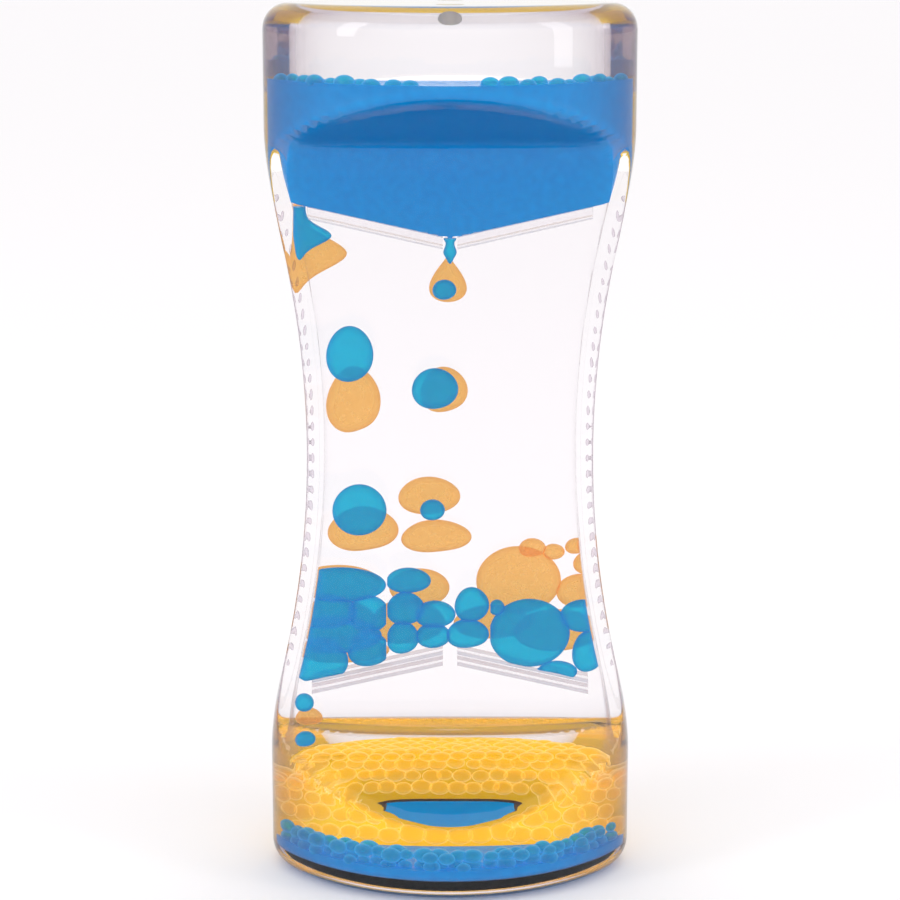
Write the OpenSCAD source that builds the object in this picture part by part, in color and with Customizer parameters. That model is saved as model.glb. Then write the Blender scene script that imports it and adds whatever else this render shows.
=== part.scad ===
// Two-colour liquid motion timer in the shape of an hourglass.
// Two clear moulded half shells close on a flat divider. The cell in front of the
// divider holds blue liquid and the cell behind it holds yellow liquid, and each
// cell has a funnel of two ramps near the top and a ridge of two near the bottom.
// Z is up, X is the width and the front faces -Y. The origin is at the centre of
// the resting face.

/* [Body] */
// Overall height
body_h = 140; // [115:1:170]
// Width of the two end blocks
body_w = 58.5; // [52:0.5:72]
// Depth of the two end blocks
body_d = 44; // [36:0.5:53]
// Plan radius at the narrow sides of the end blocks
plan_end_r = 14; // [11:0.5:15]
// Rounding of the top and bottom edges
edge_r = 4; // [1:0.5:5]
// Thickness of the outer walls
wall = 3; // [2:0.1:4]
// Rounding inside the chamber, along its top and bottom edges
inner_r = 1; // [0.5:0.1:2]

/* [Waist] */
// Width at the narrowest height
waist_w = 45.5; // [38:0.5:50]
// Depth across the flat windows
waist_d = 13; // [11:0.5:16]
// Height of the straight-sided block at each end
block_h = 25.8; // [20:0.1:32]
// Thickness of the flat windows
window_wall = 2; // [1.2:0.1:2.6]
// Distance from each end to where the scooped face begins
scoop_start = 13.4; // [10:0.1:16]
// Lean of the scooped face from the vertical, in degrees
scoop_lean = 60; // [54:1:64]
// Blend radius between the scooped face and the window
scoop_r = 6.2; // [3:0.1:8]

/* [Divider and seam] */
// Thickness of the divider between the two cells
divider_t = 2; // [1.2:0.1:3]
// How far the divider reaches into the shell walls
divider_lap = 0.8; // [0.4:0.1:1]
// Clearance around the divider
divider_gap = 0.1; // [0.05:0.05:0.3]
// Width of the weld tongue on the mating faces
tongue_w = 0.6; // [0.4:0.05:0.9]
// Height of the weld tongue
tongue_h = 0.5; // [0.3:0.05:0.8]
// Distance from the outline to the tongue
tongue_inset = 1.2; // [0.8:0.05:1.3]
// Clearance around the tongue
tongue_gap = 0.05; // [0.02:0.01:0.1]

/* [Ramps] */
// Distance from each end to the point where the two ramps nearly meet
ramp_point = 36.5; // [35:0.1:42]
// Slope of the ramps, in degrees
ramp_slope = 12.7; // [8:0.1:16]
// Thickness of the ramps
ramp_t = 1.8; // [1:0.1:2.5]
// Width of the nozzle between the two ramps
nozzle_w = 2.3; // [1.6:0.1:3.5]
// Space between a ramp and the side wall
side_slot = 2.2; // [1.6:0.1:3]

/* [Fill plugs] */
// Diameter of the fill holes and plug stems
plug_d = 2.9; // [2:0.1:4]
// Diameter of the plug heads
plug_head_d = 4.2; // [3.5:0.1:5.5]
// Thickness of the plug heads
plug_head_t = 0.8; // [0.5:0.1:1.2]
// Diameter of the inner flanges of the plugs
plug_flange_d = 4.8; // [4:0.1:6]
// Thickness of the inner flanges
plug_flange_t = 1; // [0.6:0.1:1.5]
// Distance from the divider's middle to a plug's axis
plug_y = 10; // [7:0.5:13]

/* [Liquids] */
// Height of the blue surface above the ramps' point, upper pool
blue_head = 26; // [20:0.5:29]
// Height of the yellow surface above the ramps' point, upper pool
yellow_head = 22; // [18:0.5:28]
// Depth of the blue liquid lying in the lower block
blue_sump = 5; // [4:0.5:9]
// Depth of the yellow liquid lying in the lower block
yellow_sump = 11.5; // [5:0.5:12.5]
// Gap between a liquid and the wall that holds it
film = 0.08; // [0.04:0.01:0.15]
// Gap between a falling drop and the walls beside it
drop_gap = 0.25; // [0.15:0.05:0.4]

/* [Hidden] */
$fn = 96;
eps = 0.01;
far = 200;
blend_steps = 10;

half_w = body_w / 2;
half_d = body_d / 2;
mid_z = body_h / 2;

// The oval plan: two wide arcs and two narrow end arcs. The wide arcs are tangent to
// circles that are smaller than the end arcs by plan_lap, so that the arcs cross.
plan_lap = 0.2;
plan_end_x = half_w - plan_end_r;
plan_in_r = plan_end_r - plan_lap;
plan_side_r = (plan_end_x ^ 2 + half_d ^ 2 - plan_in_r ^ 2) / (2 * (half_d - plan_in_r));
plan_side_y = plan_side_r - half_d;
plan_split = atan2(plan_side_y, plan_end_x);

// The side scoop: one arc through the two block corners and the waist.
side_depth = (body_w - waist_w) / 2;
side_span = mid_z - block_h;
side_r = (side_span ^ 2 + side_depth ^ 2) / (2 * side_depth);

// The front and rear scoops: a window, a blend and a slanted face.
window_y = waist_d / 2;
blend_run = scoop_r * tan(scoop_lean / 2);
scoop_foot = scoop_start + (half_d - window_y) / tan(scoop_lean);
window_end = scoop_foot + blend_run;

// The two cells, between the divider and the windows.
cell_near = divider_t / 2;
cell_far = window_y - window_wall;
cell_mid = (cell_near + cell_far) / 2;
window_half = waist_w / 2 - wall;

// Inner half width of a cell at height z.
function arc_rise(z) = side_r - sqrt(side_r ^ 2 - min(abs(z - mid_z), side_span) ^ 2);
function inner_half(z) = window_half + arc_rise(z);

// Inner half width of an end block where a cell's far face would meet it.
block_half = plan_end_x + sqrt((plan_end_r - wall) ^ 2 - cell_far ^ 2);

// Height of the ramps' upper and lower faces at distance x from the middle.
upper_point = body_h - ramp_point;
lower_point = ramp_point;
ramp_thick_z = ramp_t / cos(ramp_slope);
ramp_end = inner_half(lower_point - window_half * tan(ramp_slope)) - side_slot;
function upper_ramp_z(x) = upper_point + abs(x) * tan(ramp_slope);
function lower_ramp_z(x) = lower_point - abs(x) * tan(ramp_slope);

// Where the three blue heaps part, left and right of the middle.
heap_split = 10.2;
heap_gap = 6.4;

// The fall between the two sets of ramps, and a height at a share k of it.
fall_foot = lower_point;
fall_h = upper_point - lower_point;
lobe_grow = fall_h / 67;
function fall_z(k) = fall_foot + k * fall_h;

// Falling drops: [place between the side walls from -1 to 1, share of the fall,
// half width, half height].
blue_falling = [
    [-0.05, 0.879, 1.9, 1.6],
    [-1.00, 0.726, 3.7, 4.5],
    [-0.15, 0.643, 3.7, 3.3],
    [-0.95, 0.349, 4.3, 4.2],
    [-0.16, 0.349, 2.0, 1.7]
];
yellow_falling = [
    [-0.02, 0.898, 3.0, 3.8],
    [-0.06, 0.631, 3.8, 3.7],
    [-1.00, 0.607, 4.2, 5.4],
    [-0.23, 0.372, 5.0, 3.1],
    [-0.16, 0.272, 5.7, 2.7],
    [-1.00, 0.290, 5.6, 3.7]
];
// Drops below the ridge, beside the left wall: [distance below the ramp's end,
// half width, half height].
under_ramp = lower_ramp_z(ramp_end) - ramp_thick_z;
blue_sinking = [
    [1.8, 1.5, 1.5],
    [8.7, 1.6, 1.5]
];
yellow_sinking = [
    [5.5, 2.1, 1.7]
];

CLEAR = [0.93, 0.95, 0.98, 0.30];
RIB = [0.88, 0.88, 0.93, 0.55];
PLUG = [0.85, 0.80, 0.68];
BLUE = [0.00, 0.62, 0.86, 0.85];
YELLOW = [0.98, 0.76, 0.20, 0.85];

// Profile of a disc with rounded top and bottom edges, right of the axis.
module disc_profile(radius, h, r) {
    square([radius - r, h]);
    translate([0, r])
        square([radius, h - 2 * r]);
    for (z = [r, h - r])
        translate([radius - r, z])
            circle(r);
}

module rounded_disc(radius, z0, z1, r) {
    translate([0, 0, z0])
        rotate_extrude()
            disc_profile(radius, z1 - z0, r);
}

// The oval block, inset by off all round in plan.
module oval_block(off, z0, z1, r) {
    middle = plan_end_x + (plan_in_r - off) * cos(plan_split);
    intersection() {
        translate([-middle, -half_d, z0])
            cube([2 * middle, body_d, z1 - z0]);
        intersection_for (side = [-1, 1])
            translate([0, side * plan_side_y, 0])
                rounded_disc(plan_side_r - off, z0, z1, r);
    }
    for (side = [-1, 1])
        translate([side * plan_end_x, 0, 0])
            rounded_disc(plan_end_r - off, z0, z1, r);
}

// The two cylinders that scoop the sides, moved inwards by off.
module side_scoops(off) {
    for (side = [-1, 1])
        translate([side * (waist_w / 2 + side_r), far / 2, mid_z])
            rotate([90, 0, 0])
                cylinder(r = side_r + off, h = far, $fn = 360);
}

// Section of the space that scoops the front, moved inwards by off. The blend is a
// run of short flats about one centre.
module scoop_section(off) {
    r = scoop_r + off;
    centre_y = -window_y - scoop_r;
    blend = [for (i = [0:blend_steps]) i * scoop_lean / blend_steps];
    lower = [for (a = blend) [centre_y + r * cos(a), window_end - r * sin(a)]];
    foot = lower[blend_steps];
    out_y = -half_d - scoop_r;
    out_z = foot[1] + (out_y - foot[0]) / tan(scoop_lean);
    upper = [for (i = [0:blend_steps]) [lower[i][0], body_h - lower[i][1]]];
    polygon([
        for (i = [blend_steps:-1:0]) lower[i],
        each upper,
        [out_y, body_h - out_z],
        [out_y, out_z]
    ]);
}

// The scoop across the front of the body.
module front_scoop(off) {
    translate([-far / 2, 0, 0])
        rotate([90, 0, 90])
            linear_extrude(far)
                scoop_section(off);
}

// The space in front of the plane y = -near, reaching down to z0 and up to z1.
module in_front_of(near, z0, z1) {
    translate([-far / 2, -near - far, z0])
        cube([far, far, z1 - z0]);
}

// A half of the chamber or of the outer shape: the oval block less its scoops.
module half_body(off, window_off, near, z_off, r) {
    difference() {
        intersection() {
            oval_block(off, z_off, body_h - z_off, r);
            in_front_of(near, -eps, body_h + eps);
        }
        side_scoops(off);
        front_scoop(window_off);
    }
}

// Outline of the body at the seam, inset by off.
module seam_outline(off) {
    difference() {
        translate([-half_w + off, off])
            square([body_w - 2 * off, body_h - 2 * off]);
        for (side = [-1, 1])
            translate([side * (waist_w / 2 + side_r), mid_z])
                circle(side_r + off, $fn = 360);
    }
}

// Stands an XZ outline up between the planes y0 and y1.
module upright(y0, y1) {
    translate([0, y1, 0])
        rotate([90, 0, 0])
            linear_extrude(y1 - y0)
                children();
}

// The weld tongue, or with grow above zero the groove for it.
module tongue(grow) {
    upright(-eps, tongue_h + grow)
        difference() {
            seam_outline(tongue_inset - grow);
            seam_outline(tongue_inset + tongue_w + grow);
        }
}

module fill_hole() {
    translate([0, -plug_y, body_h - wall - eps])
        cylinder(d = plug_d, h = wall + 2 * eps);
    translate([0, -plug_y, body_h - plug_head_t])
        cylinder(d = plug_head_d, h = plug_head_t + eps);
}

// A half shell without its weld feature. Both halves are the same so far.
module half_shell() {
    difference() {
        half_body(0, 0, 0, 0, edge_r);
        half_body(wall, window_wall, cell_near - eps, wall, inner_r);
        upright(-cell_near, eps)
            seam_outline(wall - divider_lap);
        fill_hole();
    }
}

module front_shell() {
    color(CLEAR) {
        half_shell();
        tongue(0);
    }
}

module rear_shell() {
    color(CLEAR)
        difference() {
            mirror([0, 1, 0])
                half_shell();
            tongue(tongue_gap);
        }
}

module divider_plate() {
    color(CLEAR)
        upright(-cell_near, cell_near)
            seam_outline(wall - divider_lap + divider_gap);
}

// Outline of a ramp to the right of the nozzle; rise is 1 in a funnel, -1 on a ridge.
module ramp_outline(point, rise, below) {
    x0 = nozzle_w / 2;
    z0 = point + rise * x0 * tan(ramp_slope);
    z1 = point + rise * ramp_end * tan(ramp_slope);
    polygon([[x0, z0 - below], [ramp_end, z1 - below], [ramp_end, z1], [x0, z0]]);
}

module front_ramp(level, side) {
    color(RIB)
        mirror([side < 0 ? 1 : 0, 0, 0])
            upright(-cell_far, -cell_near)
                if (level > 0)
                    ramp_outline(upper_point, 1, ramp_thick_z);
                else
                    ramp_outline(lower_point, -1, ramp_thick_z);
}

module rear_ramp(level, side) {
    mirror([0, 1, 0])
        front_ramp(level, side);
}

module front_fill_plug() {
    color(PLUG)
        translate([0, -plug_y, 0]) {
            translate([0, 0, body_h - plug_head_t])
                cylinder(d = plug_head_d, h = plug_head_t);
            translate([0, 0, body_h - wall])
                cylinder(d = plug_d, h = wall - plug_head_t);
            translate([0, 0, body_h - wall - plug_flange_t])
                cylinder(d = plug_flange_d, h = plug_flange_t);
        }
}

module rear_fill_plug() {
    mirror([0, 1, 0])
        front_fill_plug();
}

// The front half of the chamber, with a thin film of clearance all round.
module front_chamber() {
    half_body(wall + film, window_wall + film, cell_near + film, wall + film, inner_r);
}

// Everything above the funnel's faces, up to the height top.
module over_funnel(top) {
    upright(-far, far)
        polygon([
            [-half_w, upper_ramp_z(half_w) + film], [0, upper_point + film],
            [half_w, upper_ramp_z(half_w) + film], [half_w, top], [-half_w, top]
        ]);
}

// Liquid waiting above the funnel, head high above its point.
module upper_pool(head) {
    intersection() {
        front_chamber();
        over_funnel(upper_point + head);
    }
}

// Liquid lying in the bottom of the chamber, depth deep.
module lower_pool(depth) {
    intersection() {
        front_chamber();
        in_front_of(0, 0, wall + depth);
    }
}

module blue_upper_pool() {
    color(BLUE)
        upper_pool(blue_head);
}

module yellow_upper_pool() {
    color(YELLOW)
        mirror([0, 1, 0])
            upper_pool(yellow_head);
}

module blue_lower_pool() {
    color(BLUE)
        lower_pool(blue_sump);
}

module yellow_lower_pool() {
    color(YELLOW)
        mirror([0, 1, 0])
            lower_pool(yellow_sump);
}

// A slab of liquid in the front cell, clear of its walls.
module cell_slab() {
    upright(-cell_far + film, -cell_near - film)
        children();
}

// The start of a drop in the nozzle.
module blue_nozzle_drip() {
    r = nozzle_w / 2 - film;
    reach = ramp_thick_z + r;
    color(BLUE)
        cell_slab() {
            translate([-r, upper_point - reach])
                square([2 * r, reach]);
            translate([0, upper_point - reach])
                circle(r);
        }
}

// A drip that leaves the slot beside the upper left ramp, runs down the wall and
// swells at its end.
module side_drip(r, hang) {
    top = upper_ramp_z(ramp_end);
    tip = top - hang;
    wall_top = inner_half(top) - drop_gap;
    wall_tip = inner_half(tip) - drop_gap;
    cell_slab() {
        polygon([
            [-wall_top, top], [-wall_tip, tip], [-wall_tip + r, tip],
            [-ramp_end - film, top - ramp_thick_z], [-ramp_end - film, top]
        ]);
        translate([-wall_tip + r, tip])
            circle(r);
    }
}

module blue_side_drip() {
    color(BLUE)
        side_drip(2.2, 6.2);
}

module yellow_side_drip() {
    color(YELLOW)
        mirror([0, 1, 0])
            side_drip(2.8, 11.6);
}

// Keeps the part of an outline that lies in the cell, over the ridge, from x0 to x1.
module over_ridge(x0, x1) {
    intersection() {
        children();
        seam_outline(wall + film);
        polygon([
            [x0, lower_ramp_z(x0) + film],
            for (x = [0]) if (x0 < x && x < x1) [x, lower_point + film],
            [x1, lower_ramp_z(x1) + film], [x1, upper_point], [x0, upper_point]
        ]);
    }
}

// A round lobe of a heap, whose top is at share k of the fall and which grows with it.
module lobe(x, k, r) {
    translate([x, fall_z(k) - r * lobe_grow])
        circle(r * lobe_grow);
}

// The body of a heap, from x0 to x1 and up to share k of the fall.
module heap_body(x0, x1, k) {
    translate([x0, 0])
        square([x1 - x0, fall_z(k)]);
}

module blue_heap_left() {
    color(BLUE)
        cell_slab()
            over_ridge(-half_w, -heap_split - film) {
                lobe(-window_half + 3.0, 0.208, 3.4);
                lobe(-window_half + 6.4, 0.205, 3.2);
                heap_body(-half_w, -heap_split, 0.14);
            }
}

module blue_heap_middle() {
    color(BLUE)
        cell_slab()
            over_ridge(-heap_split + film, heap_gap - film) {
                lobe(-6.4, 0.207, 3.6);
                lobe(-1.0, 0.134, 3.6);
                lobe(3.0, 0.147, 3.2);
                heap_body(-heap_split, heap_gap, 0.10);
            }
}

module blue_heap_right() {
    color(BLUE)
        cell_slab()
            over_ridge(heap_gap + film, half_w) {
                lobe(12.0, 0.130, 5.5);
                lobe(window_half - 0.9, 0.130, 3.1);
                heap_body(heap_gap, half_w, 0.01);
            }
}

module yellow_heap_left() {
    color(YELLOW)
        mirror([0, 1, 0])
            cell_slab()
                over_ridge(-half_w, -film) {
                    lobe(-window_half + 6.7, 0.200, 5.2);
                    lobe(-4.5, 0.196, 5.2);
                    heap_body(-half_w, 0, 0.12);
                }
}

module yellow_heap_right() {
    color(YELLOW)
        mirror([0, 1, 0])
            cell_slab()
                over_ridge(film, half_w) {
                    lobe(9.6, 0.268, 5.6);
                    lobe(window_half - 4.2, 0.224, 4.6);
                    heap_body(0, half_w, 0.12);
                }
}

// A drop squeezed between window and divider, with half width hw and half height hh.
module squeezed_drop(x, z, hw, hh) {
    t = cell_far - cell_near - 2 * drop_gap;
    core = min(hw, hh);
    edge = min(t / 2, core / 2) - 0.1;
    run_x = hw - core;
    run_z = hh - core;
    translate([x, -cell_mid, z]) {
        for (s = [-1, 1])
            translate([s * run_x, 0, s * run_z])
                rotate([90, 0, 0])
                    translate([0, 0, -t / 2])
                        rotate_extrude()
                            disc_profile(core, t, edge);
        if (run_x > 0)
            rotate([0, 90, 0])
                translate([0, 0, -run_x])
                    linear_extrude(2 * run_x)
                        drop_section(core, t, edge);
        if (run_z > 0)
            translate([0, 0, -run_z])
                linear_extrude(2 * run_z)
                    drop_section(core, t, edge);
    }
}

// Rounded section of a long drop, across its length.
module drop_section(core, t, edge) {
    square([2 * (core - edge), t], center = true);
    square([2 * core, t - 2 * edge], center = true);
    for (x = [-1, 1], y = [-1, 1])
        translate([x * (core - edge), y * (t / 2 - edge)])
            circle(edge);
}

// A drop falling between the two sets of ramps.
module falling_drop(row) {
    squeezed_drop(row[0] * (window_half - drop_gap - row[2]), fall_z(row[1]), row[2], row[3]);
}

// A drop below the ridge, beside the left wall of the end block.
module sinking_drop(row) {
    squeezed_drop(-block_half + drop_gap + row[1], under_ramp - row[0], row[1], row[2]);
}

module blue_drop(i) {
    color(BLUE)
        if (i < len(blue_falling))
            falling_drop(blue_falling[i]);
        else
            sinking_drop(blue_sinking[i - len(blue_falling)]);
}

module yellow_drop(i) {
    color(YELLOW)
        mirror([0, 1, 0])
            if (i < len(yellow_falling))
                falling_drop(yellow_falling[i]);
            else
                sinking_drop(yellow_sinking[i - len(yellow_falling)]);
}

front_shell();
rear_shell();
divider_plate();
front_ramp(1, -1);  // front_upper_ramp_left
front_ramp(1, 1);  // front_upper_ramp_right
front_ramp(-1, -1);  // front_lower_ramp_left
front_ramp(-1, 1);  // front_lower_ramp_right
rear_ramp(1, -1);  // rear_upper_ramp_left
rear_ramp(1, 1);  // rear_upper_ramp_right
rear_ramp(-1, -1);  // rear_lower_ramp_left
rear_ramp(-1, 1);  // rear_lower_ramp_right
front_fill_plug();
rear_fill_plug();
blue_upper_pool();
blue_nozzle_drip();
blue_side_drip();
blue_heap_left();
blue_heap_middle();
blue_heap_right();
blue_lower_pool();
yellow_upper_pool();
yellow_side_drip();
yellow_heap_left();
yellow_heap_right();
yellow_lower_pool();
for (i = [0:len(blue_falling) + len(blue_sinking) - 1])
    blue_drop(i);
for (i = [0:len(yellow_falling) + len(yellow_sinking) - 1])
    yellow_drop(i);
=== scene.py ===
"""Two-colour liquid motion timer: clear hourglass shell, blue and yellow liquids."""
import math
import random

import bmesh
import bpy
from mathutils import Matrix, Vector


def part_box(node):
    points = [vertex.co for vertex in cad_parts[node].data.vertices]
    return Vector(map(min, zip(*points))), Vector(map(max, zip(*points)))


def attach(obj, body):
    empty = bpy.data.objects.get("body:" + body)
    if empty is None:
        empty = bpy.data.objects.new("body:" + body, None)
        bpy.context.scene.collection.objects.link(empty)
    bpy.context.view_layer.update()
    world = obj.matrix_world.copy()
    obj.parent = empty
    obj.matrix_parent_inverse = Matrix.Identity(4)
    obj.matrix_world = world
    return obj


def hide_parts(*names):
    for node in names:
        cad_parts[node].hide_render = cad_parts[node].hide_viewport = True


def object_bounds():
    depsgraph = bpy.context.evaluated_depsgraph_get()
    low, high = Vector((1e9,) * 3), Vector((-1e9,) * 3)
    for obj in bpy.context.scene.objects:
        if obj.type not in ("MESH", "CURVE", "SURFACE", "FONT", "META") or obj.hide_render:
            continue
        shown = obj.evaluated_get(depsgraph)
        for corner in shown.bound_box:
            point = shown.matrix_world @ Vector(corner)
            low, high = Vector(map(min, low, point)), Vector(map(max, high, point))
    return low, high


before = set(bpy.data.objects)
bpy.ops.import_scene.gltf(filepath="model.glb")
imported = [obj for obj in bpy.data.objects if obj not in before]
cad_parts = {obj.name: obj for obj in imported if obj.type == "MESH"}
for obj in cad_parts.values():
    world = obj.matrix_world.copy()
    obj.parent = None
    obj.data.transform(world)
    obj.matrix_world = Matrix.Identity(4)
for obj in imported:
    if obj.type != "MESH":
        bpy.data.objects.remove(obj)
CAD_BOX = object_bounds()

MM = 0.001
random.seed(7)

# Sizes of the housing, in millimetres.
LOW, HIGH = CAD_BOX
BODY_W = (HIGH[0] - LOW[0]) / MM
BODY_D = (HIGH[1] - LOW[1]) / MM
BODY_H = (HIGH[2] - LOW[2]) / MM
HALF_D = BODY_D / 2
MID_Z = BODY_H / 2
PLAN_END_R = 14
EDGE_R = 4
WALL = 3
INNER_R = 1
WAIST_W = 45.5
WINDOW_Y = 6.5
BLOCK_H = 25.8
WINDOW_WALL = 2
SCOOP_START = 13.4
SCOOP_LEAN = math.radians(60)
SCOOP_R = 6.2
CORNER_BLEND = 2.2
RAIL_BLEND = 7
RAIL_BLEND_LEAD = 8
RAIL_BLEND_RUN = 12
FILM = 0.08
PLUG_PROUD = 0.03

# Where the cells start behind or before the middle plane, and the ramps.
CELL_NEAR = 1
SLOPE = math.tan(math.radians(12.7))
UPPER_POINT = BODY_H - 36.5
LOWER_POINT = 36.5

# Shapes that follow from them.
PLAN_END_X = BODY_W / 2 - PLAN_END_R
PLAN_SIDE_R = (PLAN_END_X ** 2 + HALF_D ** 2 - PLAN_END_R ** 2) / (2 * (HALF_D - PLAN_END_R))
PLAN_SIDE_Y = PLAN_SIDE_R - HALF_D
PLAN_SPLIT = math.atan2(PLAN_SIDE_Y, PLAN_END_X)
SIDE_SPAN = MID_Z - BLOCK_H
SIDE_DEPTH = (BODY_W - WAIST_W) / 2
SIDE_R = (SIDE_SPAN ** 2 + SIDE_DEPTH ** 2) / (2 * SIDE_DEPTH)
SCOOP_FOOT = SCOOP_START + (HALF_D - WINDOW_Y) / math.tan(SCOOP_LEAN)
WINDOW_END = SCOOP_FOOT + SCOOP_R * math.tan(SCOOP_LEAN / 2)
BLOCK_REACH = BODY_W / 2 - WALL - 1

# Mesh steps. SEAM_BUNCHING draws the points of an outline together towards the seam.
ARC_STEPS = 160
SLICES = 160
CAP_STEPS = 12
EDGE_STEPS = 8
OUTLINE_STEPS = 72
SEAM_BUNCHING = 0.3
NO_CLIP = 1000

# Liquids. Depths and reaches of foam are measured from a pool's surface or from the wall.
RIM_SHARE = 0.45
POOL_START = UPPER_POINT + 0.15
POOL_FLOOR = WALL + FILM
POOL_BLEND = 0.8
RIPPLE = 0.12
FOAM_R = 1.6
FOAM_RISE = FOAM_R * 0.75
UPPER_FOAM_GAP = 5.5
UPPER_FOAM_REACH = 4.5
BLUE_FOAM_R = FOAM_R * 0.9
BLUE_FOAM_DEPTH = 3.2
BLUE_FOAM_LIFT = 0.4
BLUE_FOAM_ROW = 1.5
BLUE_FOAM_REACH = 5
YELLOW_POOL_NEAR = 2.4
WALL_FOAM_START = 6

# The weld line's dashes.
DASH_PITCH = 2.6
DASH_END = 12

# Camera, room and lights, in metres, degrees and watts.
CAMERA_PLACE = (0, -0.42981, 0.15567)
CAMERA_TILT = 11.42
CAMERA_LENS = 109.1
SENSOR_W = 36
FLOOR_R = 6
ROOM_STRENGTH = 1.14
ROOM_SIDES = (0.6, 0.53, 0.58, 1)
SOFTBOX_AIM = (0, 0, 0.07)
SOFTBOX_SIZE = (0.2, 0.7)


# ---------------------------------------------------------------- plain shape functions

def soft_min(a, b, k):
    """The lesser of a and b, blended over a band k wide."""
    h = max(k - abs(a - b), 0) / k
    return min(a, b) - h * h * k / 4


def side_x(z):
    """Half width of the scooped sides at height z."""
    dz = min(abs(z - MID_Z), SIDE_R)
    return WAIST_W / 2 + SIDE_R - math.sqrt(SIDE_R ** 2 - dz ** 2)


def front_y(z, off):
    """Half depth of the scooped front at height z, moved inwards by off."""
    end = min(z, BODY_H - z)
    r = SCOOP_R + off
    if end >= WINDOW_END:
        return WINDOW_Y - off
    foot_z = WINDOW_END - r * math.sin(SCOOP_LEAN)
    if end >= foot_z:
        return WINDOW_Y + SCOOP_R - math.sqrt(r ** 2 - (WINDOW_END - end) ** 2)
    foot_y = WINDOW_Y + SCOOP_R - r * math.cos(SCOOP_LEAN)
    return foot_y + (foot_z - end) * math.tan(SCOOP_LEAN)


def oval_reach(c, s, off):
    """Distance from the axis to the oval plan in the direction (c, s)."""
    r = PLAN_END_R - off
    tangent_x = PLAN_END_X + r * math.cos(PLAN_SPLIT)
    tangent_y = r * math.sin(PLAN_SPLIT)
    if s * tangent_x < c * tangent_y:
        return c * PLAN_END_X + math.sqrt(max(r ** 2 - (s * PLAN_END_X) ** 2, 0))
    wide = PLAN_SIDE_R - off
    return -s * PLAN_SIDE_Y + math.sqrt(wide ** 2 - (c * PLAN_SIDE_Y) ** 2)


def edge_inset(depth, r):
    """How far a rounded edge of radius r steps in at a depth below the face."""
    if depth >= r:
        return 0
    return r - math.sqrt(max(r ** 2 - (r - depth) ** 2, 0))


def rail_blend(z, blend):
    """The outer corners of the rails are rounder along the windows than at the blocks."""
    share = (min(z, BODY_H - z) - WINDOW_END + RAIL_BLEND_LEAD) / RAIL_BLEND_RUN
    return blend + (RAIL_BLEND - blend) * min(max(share, 0), 1)


def wall_reach(angle, z, off, window_off, inset, clip_x, blend):
    """Distance from the axis to the outline at height z, in the direction of the angle."""
    front_blend = rail_blend(z, blend) if off == 0 else blend
    c = abs(math.cos(angle))
    s = abs(math.sin(angle))
    reach = oval_reach(c, s, inset)
    if c > 0.001:
        reach = soft_min(reach, (side_x(z) - off) / c, blend)
        reach = min(reach, clip_x / c)
    if s > 0.001:
        reach = soft_min(reach, front_y(z, window_off) / s, front_blend)
    return reach


def section(z, off, window_off, depth, r, clip_x=NO_CLIP, blend=CORNER_BLEND, y_near=0):
    """Front half of the outline at height z, from the left rail round to the right."""
    inset = off + edge_inset(depth, r)
    points = []
    for i in range(ARC_STEPS + 1):
        t = i / ARC_STEPS
        angle = math.pi * t - SEAM_BUNCHING * math.sin(2 * math.pi * t)
        reach = wall_reach(angle, z, off, window_off, inset, clip_x, blend)
        x = -reach * math.cos(angle)
        y = -reach * math.sin(angle)
        points.append(Vector((x, min(y, -y_near), z)))
    return points


def rounded_heights(z0, z1, r, steps):
    """Heights from z0 to z1, close together over the rounded edges."""
    edge = [r * (1 - math.cos(math.pi / 2 * i / EDGE_STEPS)) for i in range(EDGE_STEPS + 1)]
    run = z1 - z0 - 2 * r
    middle = [z0 + r + run * i / steps for i in range(1, steps)]
    return [z0 + e for e in edge] + middle + [z1 - e for e in reversed(edge)]


# ---------------------------------------------------------------- mesh helpers

def finish_mesh(bm, name, materials, body="housing", smooth_angle=35):
    """Turns a bmesh in millimetres into a smooth piece in metres."""
    bmesh.ops.recalc_face_normals(bm, faces=bm.faces)
    bmesh.ops.scale(bm, vec=(MM, MM, MM), verts=bm.verts)
    mesh = bpy.data.meshes.new(name)
    bm.to_mesh(mesh)
    bm.free()
    mesh.shade_smooth()
    mesh.set_sharp_from_angle(angle=math.radians(smooth_angle))
    for material in materials:
        mesh.materials.append(material)
    piece = bpy.data.objects.new(name, mesh)
    bpy.context.scene.collection.objects.link(piece)
    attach(piece, body)
    return piece


def add_grid(bm, rows, closed=False, index=0):
    """Quads between rows of points that all have the same count; returns the vertex rows."""
    vert_rows = [[bm.verts.new(p) for p in row] for row in rows]
    count = len(rows[0])
    for low, high in zip(vert_rows, vert_rows[1:]):
        for i in range(count if closed else count - 1):
            j = (i + 1) % count
            face = bm.faces.new((low[i], low[j], high[j], high[i]))
            face.material_index = index
    return vert_rows


def cap_ends(bm, vert_rows, index=0):
    """Closes the first and the last row of a grid with one face each."""
    for row in (vert_rows[0], vert_rows[-1]):
        face = bm.faces.new(row)
        face.material_index = index


def shrunk(row, centre, share):
    """The row's points, drawn towards the centre."""
    return [centre + (p - centre) * share for p in row]


def mirror_to_rear(bm):
    """Turns a form that was built in the front cell into one for the rear cell."""
    bmesh.ops.scale(bm, vec=(1, -1, 1), verts=bm.verts)


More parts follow.
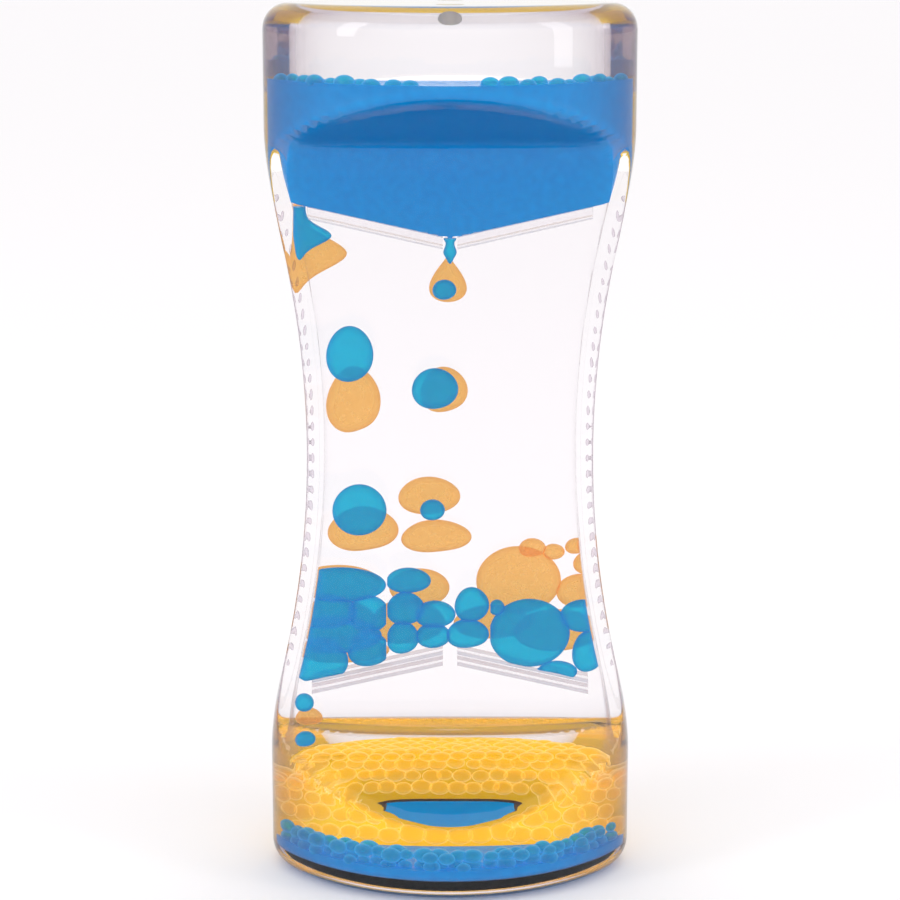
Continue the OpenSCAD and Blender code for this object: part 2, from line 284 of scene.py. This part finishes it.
def half_skin(bm, off, window_off, z0, z1, r, index):
    """Front half of the housing's skin with its end faces, open along the seam."""
    rows = []
    for z in rounded_heights(z0, z1, r, SLICES):
        depth = min(z - z0, z1 - z)
        rows.append(section(z, off, window_off, depth, r))
    caps = [1 - i / CAP_STEPS for i in range(1, CAP_STEPS)] + [0.02]
    bottom = [shrunk(rows[0], Vector((0, 0, z0)), k) for k in reversed(caps)]
    top = [shrunk(rows[-1], Vector((0, 0, z1)), k) for k in caps]
    vert_rows = add_grid(bm, bottom + rows + top, index=index)
    cap_ends(bm, vert_rows, index)
    return vert_rows


def node_centre(node):
    """Centre and half size of a CAD solid's box, in millimetres."""
    low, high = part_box(node)
    return (low + high) / 2 / MM, (high - low) / 2 / MM


def surface_z(node):
    """Height of a CAD solid's top, in millimetres."""
    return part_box(node)[1].z / MM


def finish_liquid(bm, node, material, body="housing"):
    """Turns a bmesh into the piece that stands for a CAD solid of liquid."""
    piece = finish_mesh(bm, node + "_form", [material], body=body)
    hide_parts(node)
    return piece


# ---------------------------------------------------------------- materials

def node_of(tree, kind, **values):
    """A new node with the given input values; an underscore in a name stands for a space."""
    node = tree.nodes.new(kind)
    for name, value in values.items():
        node.inputs[name.replace("_", " ")].default_value = value
    return node


def blank_material(name):
    """A material with an empty node tree, that tree, and its output node."""
    material = bpy.data.materials.new(name)
    material.use_nodes = True
    tree = material.node_tree
    tree.nodes.clear()
    return material, tree, tree.nodes.new("ShaderNodeOutputMaterial")


def colour_ramp(tree, stops, interpolation="LINEAR"):
    """A colour ramp through (position, colour) stops, from the lowest position up."""
    ramp = tree.nodes.new("ShaderNodeValToRGB")
    ramp.color_ramp.interpolation = interpolation
    elements = ramp.color_ramp.elements
    for position, _ in stops[1:-1]:
        elements.new(position)
    for i, (position, colour) in enumerate(stops):
        elements[i].position = position
        elements[i].color = colour
    return ramp


def surface_noise(tree, shader, scale, low, high, strength, distance=0.0001):
    """Noise in object space gives a shader its roughness, low to high, and a shallow bump."""
    place = tree.nodes.new("ShaderNodeTexCoord")
    noise = node_of(tree, "ShaderNodeTexNoise", Scale=scale, Detail=4.0)
    spread = node_of(tree, "ShaderNodeMapRange", To_Min=low, To_Max=high)
    bump = node_of(tree, "ShaderNodeBump", Strength=strength, Distance=distance)
    tree.links.new(place.outputs["Object"], noise.inputs["Vector"])
    tree.links.new(noise.outputs["Fac"], spread.inputs["Value"])
    tree.links.new(noise.outputs["Fac"], bump.inputs["Height"])
    tree.links.new(spread.outputs["Result"], shader.inputs["Roughness"])
    tree.links.new(bump.outputs["Normal"], shader.inputs["Normal"])
    return noise


def clear_plastic():
    """Outer skin of the housing: it refracts, with faint moulding waves; its colour darkens to
    near black where it turns away, a painted edge shade.
    """
    material, tree, out = blank_material("clear_plastic")
    shader = node_of(
        tree, "ShaderNodeBsdfPrincipled",
        IOR=1.46, Transmission_Weight=1.0, Specular_IOR_Level=0.12
    )
    surface_noise(tree, shader, scale=90, low=0.0, high=0.03, strength=0.04)
    facing = node_of(tree, "ShaderNodeLayerWeight", Blend=0.5)
    # Transmission colour from clear face on to near black where the skin turns away: painted edge
    # shade.
    tint = colour_ramp(tree, [
        (0.15, (0.99, 0.98, 0.985, 1)), (0.55, (0.5, 0.41, 0.48, 1)), (1.0, (0.06, 0.04, 0.055, 1))
    ], "EASE")
    tree.links.new(facing.outputs["Facing"], tint.inputs["Fac"])
    tree.links.new(tint.outputs["Color"], shader.inputs["Base Color"])
    tree.links.new(shader.outputs["BSDF"], out.inputs["Surface"])
    return material


def see_through(name, tint, edge, weight, blend, roughness=0.08):
    """A clear surface inside the oil: nearly invisible face on; where it turns away it becomes a
    matt face in the edge colour, a painted edge shade.
    """
    material, tree, out = blank_material(name)
    clear = node_of(tree, "ShaderNodeBsdfTransparent", Color=tint)
    shader = node_of(tree, "ShaderNodeBsdfPrincipled", Base_Color=edge, IOR=1.1)
    surface_noise(
        tree, shader, scale=150, low=roughness * 0.5, high=roughness * 1.5, strength=0.05
    )
    # The edge colour comes in as the face turns away from view: painted shade along the edges.
    facing = node_of(tree, "ShaderNodeLayerWeight", Blend=blend)
    share = node_of(tree, "ShaderNodeMapRange", To_Min=0.0, To_Max=weight)
    mix = tree.nodes.new("ShaderNodeMixShader")
    tree.links.new(facing.outputs["Facing"], share.inputs["Value"])
    tree.links.new(share.outputs["Result"], mix.inputs["Fac"])
    tree.links.new(clear.outputs["BSDF"], mix.inputs[1])
    tree.links.new(shader.outputs["BSDF"], mix.inputs[2])
    tree.links.new(mix.outputs["Shader"], out.inputs["Surface"])
    return material


def liquid(name, through, tones, cover, rim, grain=900, painted_glow=0.28):
    """Dyed liquid: a filter colour over a body that drifts between two tones.

    The body's cover goes from the first value, face on, to the second, at the rim.
    Towards the rim its colour turns to the rim colour: painted edge shade where that is darker,
    a painted highlight where it is paler. The body also glows in its own colour, painted light.
    """
    material, tree, out = blank_material(name)
    clear = node_of(tree, "ShaderNodeBsdfTransparent", Color=through)
    # The body glows in its own colour: painted light.
    shader = node_of(tree, "ShaderNodeBsdfPrincipled", IOR=1.12, Emission_Strength=painted_glow)
    noise = surface_noise(tree, shader, scale=grain, low=0.1, high=0.3, strength=0.03)
    tone = colour_ramp(tree, [(0.3, tones[0]), (0.7, tones[1])])
    facing = node_of(tree, "ShaderNodeLayerWeight", Blend=0.35)
    share = node_of(tree, "ShaderNodeMapRange", To_Min=cover[0], To_Max=cover[1])
    mix = tree.nodes.new("ShaderNodeMixShader")
    # The rim colour comes in where the surface turns away: painted edge shade where it is darker,
    # a painted highlight where it is paler.
    edge = tree.nodes.new("ShaderNodeMix")
    edge.data_type = "RGBA"
    edge.inputs[7].default_value = rim
    tree.links.new(noise.outputs["Fac"], tone.inputs["Fac"])
    tree.links.new(facing.outputs["Facing"], edge.inputs["Factor"])
    tree.links.new(tone.outputs["Color"], edge.inputs[6])
    tree.links.new(edge.outputs[2], shader.inputs["Base Color"])
    tree.links.new(edge.outputs[2], shader.inputs["Emission Color"])
    tree.links.new(facing.outputs["Facing"], share.inputs["Value"])
    tree.links.new(share.outputs["Result"], mix.inputs["Fac"])
    tree.links.new(clear.outputs["BSDF"], mix.inputs[1])
    tree.links.new(shader.outputs["BSDF"], mix.inputs[2])
    tree.links.new(mix.outputs["Shader"], out.inputs["Surface"])
    return material


def rubber():
    """Beige rubber of the fill plugs, with a fine grain."""
    material, tree, out = blank_material("plug_rubber")
    shader = node_of(tree, "ShaderNodeBsdfPrincipled", Subsurface_Weight=0.2)
    shader.inputs["Subsurface Scale"].default_value = 0.001
    noise = surface_noise(tree, shader, scale=1800, low=0.35, high=0.6, strength=0.3)
    tone = colour_ramp(tree, [(0.0, (0.62, 0.56, 0.42, 1)), (1.0, (0.82, 0.77, 0.63, 1))])
    tree.links.new(noise.outputs["Fac"], tone.inputs["Fac"])
    tree.links.new(tone.outputs["Color"], shader.inputs["Base Color"])
    tree.links.new(shader.outputs["BSDF"], out.inputs["Surface"])
    return material


SKIN = clear_plastic()
# The edge colours of these clear faces are painted edge shade.
INNER = see_through(
    "inner_face", tint=(0.995, 0.99, 0.995, 1), edge=(0.5, 0.38, 0.46, 1), weight=0.75, blend=0.2
)
DIVIDER = see_through(
    "divider_face", tint=(0.995, 0.995, 0.995, 1), edge=(0.6, 0.52, 0.56, 1), weight=0.3, blend=0.2
)
RAMP = see_through(
    "ramp_face", tint=(0.98, 0.975, 0.98, 1), edge=(0.75, 0.6, 0.66, 1), weight=0.6, blend=0.4
)
SEAM = see_through(
    "weld_seam", tint=(0.9, 0.87, 0.9, 1), edge=(0.6, 0.52, 0.58, 1), weight=0.5, blend=0.5,
    roughness=0.3
)
# The darker rim colours of the blue drops and pools are painted edge shade; every liquid's glow is
# painted light.
BLUE_DROP = liquid(
    "blue_drop", through=(0.0, 0.97, 0.75, 1), tones=((0, 0.33, 0.86, 1), (0, 0.39, 0.94, 1)),
    cover=(0.5, 0.85), rim=(0.0, 0.22, 0.62, 1)
)
BLUE_DEEP = liquid(
    "blue_deep", through=(0.0, 0.6, 0.5, 1), tones=((0, 0.31, 0.8, 1), (0, 0.37, 0.9, 1)),
    cover=(0.75, 0.95), rim=(0.0, 0.3, 0.8, 1)
)
# The foam's paler rim colour is a painted highlight.
BLUE_FOAM = liquid(
    "blue_foam", through=(0.0, 0.85, 0.7, 1), tones=((0, 0.33, 0.82, 1), (0.02, 0.42, 0.92, 1)),
    cover=(0.3, 0.95), rim=(0.12, 0.62, 1, 1), grain=500, painted_glow=0.3
)
# The darker rim colours of the yellow drops and pools are painted edge shade.
YELLOW_DROP = liquid(
    "yellow_drop", through=(0.98, 0.76, 0.38, 1),
    tones=((0.93, 0.52, 0.2, 1), (0.97, 0.62, 0.26, 1)), cover=(0.28, 0.7),
    rim=(0.9, 0.5, 0.16, 1)
)
YELLOW_DEEP = liquid(
    "yellow_deep", through=(1, 0.88, 0.12, 1), tones=((0.98, 0.7, 0.01, 1), (1, 0.8, 0.03, 1)),
    cover=(0.35, 0.6), rim=(0.95, 0.66, 0.01, 1), painted_glow=0.45
)
# The foam's paler rim colour is a painted highlight.
YELLOW_FOAM = liquid(
    "yellow_foam", through=(1, 0.9, 0.4, 1), tones=((1, 0.7, 0.02, 1), (1, 0.8, 0.06, 1)),
    cover=(0.12, 0.9), rim=(1, 0.9, 0.55, 1), grain=500, painted_glow=0.45
)
PLUG = rubber()


# ---------------------------------------------------------------- housing

def half_housing(name, node, front):
    """A half shell: a skin that refracts outside and an index-matched face inside."""
    bm = bmesh.new()
    outer = half_skin(bm, 0, 0, 0, BODY_H - PLUG_PROUD, EDGE_R, 0)
    inner = half_skin(bm, WALL, WINDOW_WALL, WALL, BODY_H - WALL, INNER_R, 1)
    rim = [row[0] for row in outer] + [row[-1] for row in reversed(outer)]
    bore = [row[0] for row in inner] + [row[-1] for row in reversed(inner)]
    for i in range(len(rim)):
        face = bm.faces.new((rim[i - 1], rim[i], bore[i], bore[i - 1]))
        face.material_index = 1
    if not front:
        mirror_to_rear(bm)
    piece = finish_mesh(bm, name, [SKIN, INNER])
    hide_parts(node)
    return piece


# ---------------------------------------------------------------- drops

def round_outline(angle, wobble):
    """Reach of a nearly round outline in one direction."""
    return 1 + wobble * math.sin(2 * angle + 1) + wobble * 0.7 * math.sin(3 * angle + 2.5)


def fit_outline(points):
    """Moves and scales an outline so that it fills the square from -1 to 1."""
    xs = [p[0] for p in points]
    zs = [p[1] for p in points]
    cx, cz = (max(xs) + min(xs)) / 2, (max(zs) + min(zs)) / 2
    rx, rz = (max(xs) - min(xs)) / 2, (max(zs) - min(zs)) / 2
    return [((x - cx) / rx, (z - cz) / rz) for x, z in points]


def blob_outline(wobble, steps=OUTLINE_STEPS):
    """A drop that is nearly round."""
    points = []
    for i in range(steps):
        angle = 2 * math.pi * i / steps
        reach = round_outline(angle, wobble)
        points.append((reach * math.cos(angle), reach * math.sin(angle)))
    return fit_outline(points)


def tear_outline(steps=OUTLINE_STEPS):
    """A drop that still trails a point at its top."""
    points = []
    for i in range(steps):
        angle = 2 * math.pi * i / steps
        width = math.sin(angle) * math.sin(angle / 2) ** 1.4
        points.append((width, math.cos(angle)))
    return fit_outline(points)


def add_pillow(bm, outline, y0, y1, edge):
    """A drop squeezed flat between y0 and y1, with a rounded rim, from its outline."""
    centre = Vector((
        sum(p[0] for p in outline) / len(outline), sum(p[1] for p in outline) / len(outline)
    ))
    mid = (y0 + y1) / 2
    half = abs(y1 - y0) / 2
    inner = [0.12, 0.35, 0.6, 0.8]
    rim = [math.pi * i / 12 for i in range(13)]
    profile = [(share, edge, -1) for share in inner]
    profile += [(1, edge * (1 - math.sin(a)), -math.cos(a)) for a in rim]
    profile += [(share, edge, 1) for share in reversed(inner)]
    rows = []
    for share, inset, side in profile:
        row = []
        for x, z in outline:
            ray = Vector((x, z)) - centre
            length = max(ray.length, 0.001)
            reach = max(length - inset, 0.02 * length) * share
            p = centre + ray / length * reach
            row.append(Vector((p.x, mid + side * half, p.y)))
        rows.append(row)
    vert_rows = add_grid(bm, rows, closed=True)
    cap_ends(bm, vert_rows)


def falling_drop(node, outline, material):
    """A separate drop that fills its CAD solid's box and falls with its own body."""
    centre, half = node_centre(node)
    points = [(centre.x + half.x * x, centre.z + half.z * z) for x, z in outline]
    bm = bmesh.new()
    edge = min(half.y, RIM_SHARE * min(half.x, half.z))
    add_pillow(bm, points, centre.y - half.y, centre.y + half.y, edge)
    return finish_liquid(bm, node, material, body=node)


# ---------------------------------------------------------------- drips and heaps

def add_drip(bm, z0, z1, left, right, y0, y1, steps=40, ring=28):
    """A hanging stretch of liquid between left(t) and right(t), with t from 0 at its top to 1."""
    mid = (y0 + y1) / 2
    half = abs(y1 - y0) / 2
    rows = []
    for i in range(steps + 1):
        t = (1 - math.cos(math.pi * i / steps)) / 2
        tip = math.sqrt(max(1 - max((t - 0.5) / 0.5, 0) ** 2, 0)) * 0.98 + 0.02
        x_mid = (left(t) + right(t)) / 2
        x_half = (right(t) - left(t)) / 2 * tip
        z = z1 + (z0 - z1) * t
        row = []
        for k in range(ring):
            a = 2 * math.pi * k / ring
            c, s = math.cos(a), math.sin(a)
            row.append(Vector((
                x_mid + math.copysign(abs(c) ** 0.7, c) * x_half,
                mid + math.copysign(abs(s) ** 0.7, s) * half * max(tip, 0.2), z
            )))
        rows.append(row)
    vert_rows = add_grid(bm, rows, closed=True)
    cap_ends(bm, vert_rows)


def hanging_drip(node, neck, swell, against_wall, material):
    """A drip with a neck and a swollen end, each given as a share of the node's width."""
    centre, half = node_centre(node)
    bm = bmesh.new()

    def width(t):
        bulge = math.exp(-((t - 0.55) / 0.22) ** 2)
        flare = 0 if against_wall else 0.35 * math.exp(-(t / 0.12) ** 2)
        return 2 * half.x * (neck + flare + (swell - neck) * bulge)

    def left(t):
        if against_wall:
            return centre.x - half.x
        return centre.x - width(t) / 2

    def right(t):
        return left(t) + min(width(t), 2 * half.x)

    add_drip(
        bm, centre.z - half.z, centre.z + half.z, left, right,
        centre.y - half.y, centre.y + half.y
    )
    return finish_liquid(bm, node, material)


def heap(node, blobs, material):
    """Drops that lie against each other over the ridge.

    Each one's centre and half size are shares of the CAD solid's box.
    """
    centre, half = node_centre(node)
    low = centre - half
    size = 2 * half
    bm = bmesh.new()
    for u, v, ru, rv in blobs:
        cx, cz = low.x + size.x * u, low.z + size.z * v
        rx, rz = size.x * ru, size.z * rv
        outline = []
        for x, z in blob_outline(0.05 * random.random(), 56):
            px = min(max(cx + rx * x, low.x), low.x + size.x)
            pz = cz + rz * z
            wall = side_x(pz) - WALL - 2 * FILM
            px = min(max(px, -wall), wall)
            pz = max(pz, LOWER_POINT - abs(px) * SLOPE + 2 * FILM)
            outline.append((px, pz))
        edge = min(half.y * 0.95, 0.5 * min(rx, rz))
        inset = 0.25 * random.random()
        add_pillow(bm, outline, centre.y - half.y + inset, centre.y + half.y - inset, edge)
    return finish_liquid(bm, node, material)


# ---------------------------------------------------------------- pools and bubbles

def pool_loop(z, clip_x, near):
    """Closed outline of a cell's liquid at height z, seen from above."""
    depth = min(z - WALL, BODY_H - WALL - z)
    points = section(
        z, WALL + FILM, WINDOW_WALL + FILM, max(depth, 0), INNER_R, clip_x, POOL_BLEND, near
    )
    first, last = points[0], points[-1]
    back = [last.lerp(first, i / 40) for i in range(1, 40)]
    for p in back:
        p.y = -near
    return points + back


def pool(node, levels, clip, front, material, near=CELL_NEAR + FILM):
    """A pool of liquid that fills its cell between the lowest and the highest level."""
    bm = bmesh.new()
    rows = [pool_loop(z, clip(z), near) for z in levels]
    top = rows[-1]
    centre = Vector((0, sum(p.y for p in top) / len(top), levels[-1]))
    for share in (0.985, 0.93, 0.8, 0.6, 0.4, 0.2, 0.05):
        ring = shrunk(top, centre, share)
        for p in ring:
            p.z += RIPPLE * math.sin(0.9 * p.x) * math.cos(0.7 * p.y) * (1 - share)
        rows.append(ring)
    vert_rows = add_grid(bm, rows, closed=True)
    cap_ends(bm, vert_rows)
    if not front:
        mirror_to_rear(bm)
    return finish_liquid(bm, node, material)


def funnel_clip(z):
    """Half width of the funnel between the upper ramps at height z."""
    return max((z - UPPER_POINT - FILM) / SLOPE, 0.1)


def no_clip(z):
    """A pool in the block's floor reaches the walls at every height."""
    return NO_CLIP


def heights(z0, z1, steps):
    """Evenly spaced heights from z0 to z1."""
    return [z0 + (z1 - z0) * i / steps for i in range(steps + 1)]


def wall_gap(x, y, z):
    """How far a point in the front cell is from the chamber's curved wall."""
    angle = math.atan2(-y, -x)
    reach = wall_reach(angle, z, WALL, WINDOW_WALL, WALL, NO_CLIP, CORNER_BLEND)
    return reach - math.hypot(x, y)


def bubbles(name, z, radius, front, keep, material):
    """Foam on a pool's surface: rows of domes that touch, all a little different."""
    bm = bmesh.new()
    step = radius * 1.75
    rows = int(HALF_D / (step * 0.87)) + 1
    count = int(BODY_W / step) + 1
    for j in range(rows):
        for i in range(count):
            x = -BODY_W / 2 + step * (i + 0.5 * (j % 2)) + random.uniform(-0.2, 0.2) * radius
            y = -CELL_NEAR - radius - step * 0.87 * j + random.uniform(-0.2, 0.2) * radius
            size = radius * random.uniform(0.75, 1.15)
            if wall_gap(x, y, z) < size * 0.9 or not keep(x, y, z):
                continue
            made = bmesh.ops.create_icosphere(bm, subdivisions=3, radius=size)["verts"]
            bmesh.ops.scale(bm, vec=(1, 1, 0.75), verts=made)
            lift = random.uniform(-0.25, 0.1) * radius
            bmesh.ops.translate(bm, verts=made, vec=(x, y, z + lift))
    if not front:
        mirror_to_rear(bm)
    return finish_mesh(bm, name, [material])


def bubble_wall(name, z0, z1, radius, material):
    """Foam that is pressed against the rear of the divider, in rows."""
    bm = bmesh.new()
    step = radius * 1.7
    for j in range(int((z1 - z0) / step) + 1):
        z = z0 + step * j
        reach = BLOCK_REACH - radius
        for i in range(int(2 * reach / step) + 1):
            x = -reach + step * (i + 0.5 * (j % 2)) + random.uniform(-0.25, 0.25) * radius
            size = radius * random.uniform(0.8, 1.15)
            if abs(x) > reach:
                continue
            made = bmesh.ops.create_icosphere(bm, subdivisions=3, radius=size)["verts"]
            bmesh.ops.scale(bm, vec=(1, 0.6, 0.85), verts=made)
            y = CELL_NEAR + FILM + 0.6 * size
            bmesh.ops.translate(bm, verts=made, vec=(x, y, z + random.uniform(-0.3, 0.3)))
    return finish_mesh(bm, name, [material])


def everywhere(x, y, z):
    """The foam of the lower yellow pool covers its whole surface."""
    return True


def at_front(x, y, z):
    """The foam of the lower blue pool lies along the front wall."""
    return wall_gap(x, y, z) < BLUE_FOAM_REACH


def near_wall(x, y, z):
    """The foam of the upper pool lies along its front, left and right of the middle."""
    return abs(x) > UPPER_FOAM_GAP and wall_gap(x, y, z) < UPPER_FOAM_REACH


# ---------------------------------------------------------------- seam

def weld_dashes(name, side):
    """The weld line in a side rail, which shows as a row of short dull dashes."""
    bm = bmesh.new()
    count = int((BODY_H - 2 * DASH_END) / DASH_PITCH)
    for i in range(count):
        z = DASH_END + DASH_PITCH * (i + 0.5)
        length = DASH_PITCH * random.uniform(0.45, 0.75)
        x = side * (min(side_x(z), BODY_W / 2) - WALL / 2)
        made = bmesh.ops.create_icosphere(bm, subdivisions=2, radius=0.5)["verts"]
        bmesh.ops.scale(bm, vec=(0.32, 0.2, length), verts=made)
        bmesh.ops.translate(bm, verts=made, vec=(x, random.uniform(-0.05, 0.05), z))
    return finish_mesh(bm, name, [SEAM])


# ---------------------------------------------------------------- finish of kept solids

def repaint(node, material, bevel=0):
    """Keeps a CAD solid and gives it a finish, with softened edges where bevel isn't 0."""
    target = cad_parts[node]
    target.data.materials.clear()
    target.data.materials.append(material)
    if bevel:
        soft = target.modifiers.new("soft_edges", "BEVEL")
        soft.width = bevel * MM
        soft.segments = 3
        soft.limit_method = "ANGLE"


# ---------------------------------------------------------------- assembly

half_housing("housing_front", "front_shell", True)
half_housing("housing_rear", "rear_shell", False)
weld_dashes("weld_line_left", -1)
weld_dashes("weld_line_right", 1)


repaint("divider_plate", DIVIDER)
for cell in ("front", "rear"):
    repaint(cell + "_fill_plug", PLUG, 0.12)
    for level in ("upper", "lower"):
        for side in ("left", "right"):
            repaint(f"{cell}_{level}_ramp_{side}", RAMP, 0.25)

for index in range(1, 8):
    falling_drop(f"blue_drop_{index}", blob_outline(0.015 + 0.03 * random.random()), BLUE_DROP)
falling_drop("yellow_drop_1", tear_outline(), YELLOW_DROP)
for index in range(2, 8):
    falling_drop(f"yellow_drop_{index}", blob_outline(0.02 + 0.05 * random.random()), YELLOW_DROP)

hanging_drip("blue_nozzle_drip", 0.6, 1.0, False, BLUE_DROP)
hanging_drip("blue_side_drip", 0.32, 1.0, True, BLUE_DROP)
hanging_drip("yellow_side_drip", 0.2, 1.0, True, YELLOW_DROP)

heap("blue_heap_left", [
    (0.50, 0.85, 0.50, 0.150), (0.32, 0.62, 0.36, 0.150), (0.80, 0.60, 0.24, 0.160),
    (0.45, 0.42, 0.50, 0.160), (0.25, 0.20, 0.32, 0.200), (0.80, 0.30, 0.24, 0.150)
], BLUE_DROP)
heap("blue_heap_middle", [
    (0.21, 0.87, 0.22, 0.130), (0.18, 0.58, 0.19, 0.170), (0.47, 0.52, 0.20, 0.140),
    (0.83, 0.62, 0.17, 0.180), (0.15, 0.28, 0.16, 0.170), (0.45, 0.30, 0.17, 0.130),
    (0.79, 0.32, 0.21, 0.150)
], BLUE_DROP)
heap("blue_heap_right", [
    (0.35, 0.60, 0.36, 0.400), (0.82, 0.80, 0.20, 0.190), (0.87, 0.38, 0.14, 0.240),
    (0.60, 0.15, 0.18, 0.120), (0.06, 0.90, 0.07, 0.090)
], BLUE_DROP)
heap("yellow_heap_left", [
    (0.28, 0.84, 0.27, 0.160), (0.80, 0.80, 0.20, 0.170), (0.25, 0.50, 0.27, 0.200),
    (0.72, 0.50, 0.25, 0.200), (0.30, 0.25, 0.30, 0.120)
], YELLOW_DROP)
heap("yellow_heap_right", [
    (0.45, 0.70, 0.28, 0.240), (0.85, 0.62, 0.15, 0.120), (0.28, 0.40, 0.26, 0.120),
    (0.70, 0.34, 0.28, 0.150), (0.54, 0.93, 0.09, 0.065), (0.68, 0.90, 0.07, 0.055),
    (0.82, 0.94, 0.07, 0.055), (0.94, 0.95, 0.06, 0.050), (0.90, 0.82, 0.10, 0.085)
], YELLOW_DROP)


blue_top = surface_z("blue_upper_pool") - FOAM_RISE
pool("blue_upper_pool", heights(POOL_START, blue_top, 70), funnel_clip, True, BLUE_DEEP)
bubbles("blue_upper_foam", blue_top, FOAM_R, True, near_wall, BLUE_FOAM)
yellow_top = surface_z("yellow_upper_pool")
pool("yellow_upper_pool", heights(POOL_START, yellow_top, 70), funnel_clip, False, YELLOW_DEEP)
blue_low = surface_z("blue_lower_pool") - BLUE_FOAM_DEPTH
pool("blue_lower_pool", heights(POOL_FLOOR, blue_low, 16), no_clip, True, BLUE_DEEP)
for row in (0, 1):
    foam_z = blue_low + BLUE_FOAM_LIFT + BLUE_FOAM_ROW * row
    bubbles(
        f"blue_lower_foam_{row + 1}", foam_z, BLUE_FOAM_R, True, at_front, BLUE_FOAM
    )
yellow_low = surface_z("yellow_lower_pool") - FOAM_RISE
pool(
    "yellow_lower_pool", heights(POOL_FLOOR, yellow_low, 20), no_clip, False, YELLOW_DEEP,
    YELLOW_POOL_NEAR
)
bubble_wall("yellow_wall_foam", WALL_FOAM_START, yellow_low, FOAM_R, YELLOW_FOAM)
bubbles("yellow_lower_foam", yellow_low, FOAM_R, False, everywhere, YELLOW_FOAM)


# ---------------------------------------------------------------- camera, floor and light

def add_camera():
    """Looks at the object from the front, a little from above."""
    camera = bpy.data.cameras.new("camera")
    camera.lens = CAMERA_LENS
    camera.sensor_width = SENSOR_W
    eye = bpy.data.objects.new("camera", camera)
    eye.location = CAMERA_PLACE
    eye.rotation_euler = (math.radians(90 - CAMERA_TILT), 0, 0)
    bpy.context.scene.collection.objects.link(eye)
    bpy.context.scene.camera = eye


def add_floor():
    """A round white table top."""
    bm = bmesh.new()
    bmesh.ops.create_circle(bm, cap_ends=True, radius=FLOOR_R, segments=96)
    mesh = bpy.data.meshes.new("floor")
    bm.to_mesh(mesh)
    bm.free()
    material, tree, out = blank_material("floor")
    shader = node_of(
        tree, "ShaderNodeBsdfPrincipled", Base_Color=(0.97, 0.97, 0.97, 1), Roughness=0.9
    )
    tree.links.new(shader.outputs["BSDF"], out.inputs["Surface"])
    mesh.materials.append(material)
    floor = bpy.data.objects.new("floor", mesh)
    bpy.context.scene.collection.objects.link(floor)


def add_world():
    """A white room, a little greyer at its sides so that the clear edges read."""
    world = bpy.data.worlds.new("room")
    world.use_nodes = True
    tree = world.node_tree
    tree.nodes.clear()
    out = tree.nodes.new("ShaderNodeOutputWorld")
    light = node_of(tree, "ShaderNodeBackground", Strength=ROOM_STRENGTH)
    place = tree.nodes.new("ShaderNodeTexCoord")
    axes = tree.nodes.new("ShaderNodeSeparateXYZ")
    side = tree.nodes.new("ShaderNodeMath")
    side.operation = "ABSOLUTE"
    ramp = colour_ramp(tree, [(0.3, (1, 1, 1, 1)), (0.9, ROOM_SIDES)], "EASE")
    tree.links.new(place.outputs["Generated"], axes.inputs["Vector"])
    tree.links.new(axes.outputs["X"], side.inputs[0])
    tree.links.new(side.outputs["Value"], ramp.inputs["Fac"])
    tree.links.new(ramp.outputs["Color"], light.inputs["Color"])
    tree.links.new(light.outputs["Background"], out.inputs["Surface"])
    bpy.context.scene.world = world


def add_softbox(name, place, power):
    """An upright rectangular light that is aimed at the object."""
    light = bpy.data.lights.new(name, "AREA")
    light.shape = "RECTANGLE"
    light.size, light.size_y = SOFTBOX_SIZE
    light.energy = power
    lamp = bpy.data.objects.new(name, light)
    lamp.location = place
    ray = Vector(SOFTBOX_AIM) - Vector(place)
    lamp.rotation_euler = ray.to_track_quat("-Z", "Y").to_euler()
    bpy.context.scene.collection.objects.link(lamp)


add_camera()
add_floor()
add_world()
add_softbox("softbox_left", place=(-0.75, -0.45, 0.45), power=1.5)
add_softbox("softbox_right", place=(0.75, -0.35, 0.4), power=1.2)

scene = bpy.context.scene
scene.view_settings.view_transform = "Standard"
scene.cycles.max_bounces = 24
scene.cycles.transmission_bounces = 16
scene.cycles.transparent_max_bounces = 48
